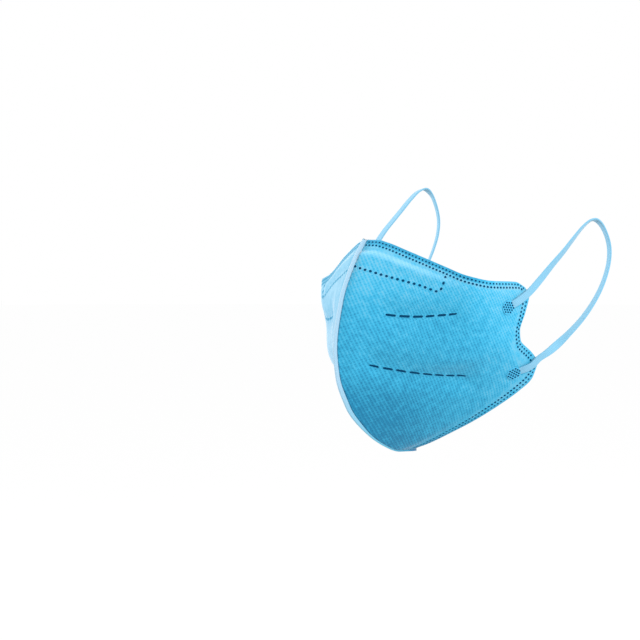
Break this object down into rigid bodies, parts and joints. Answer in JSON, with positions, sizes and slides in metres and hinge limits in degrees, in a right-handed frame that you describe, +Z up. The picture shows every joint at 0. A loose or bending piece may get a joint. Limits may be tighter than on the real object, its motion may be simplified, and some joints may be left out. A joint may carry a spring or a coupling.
{
  "type": "respirator mask",
  "caption": "Child-size folding respirator half mask: bent fabric panels welded at a front seam, with a nose clip and flat elastic ear loops, opened as worn.",
  "frame": {"origin": "middle of the face opening, on the middle plane, where the wearer's face meets the mask", "axes": "+Z up, -Y forward out of the mask, +Y back towards the wearer, +X to the wearer's left"},
  "size_m": [0.1356, 0.1388, 0.1403],
  "materials": {
    "fabric": "matt nonwoven",
    "seam": "pressed nonwoven, slightly satin",
    "elastic": "knitted elastic, matt",
    "spot": "welded nonwoven, slightly satin"
  },
  "bodies": {
    "root": {"left_panel": "fabric", "right_panel": "fabric", "centre_seam": "seam", "left_ear_loop": "elastic", "right_ear_loop": "elastic", "left_upper_weld_spot": "spot", "left_lower_weld_spot": "spot", "right_upper_weld_spot": "spot", "right_lower_weld_spot": "spot"}
  },
  "joints": []
}
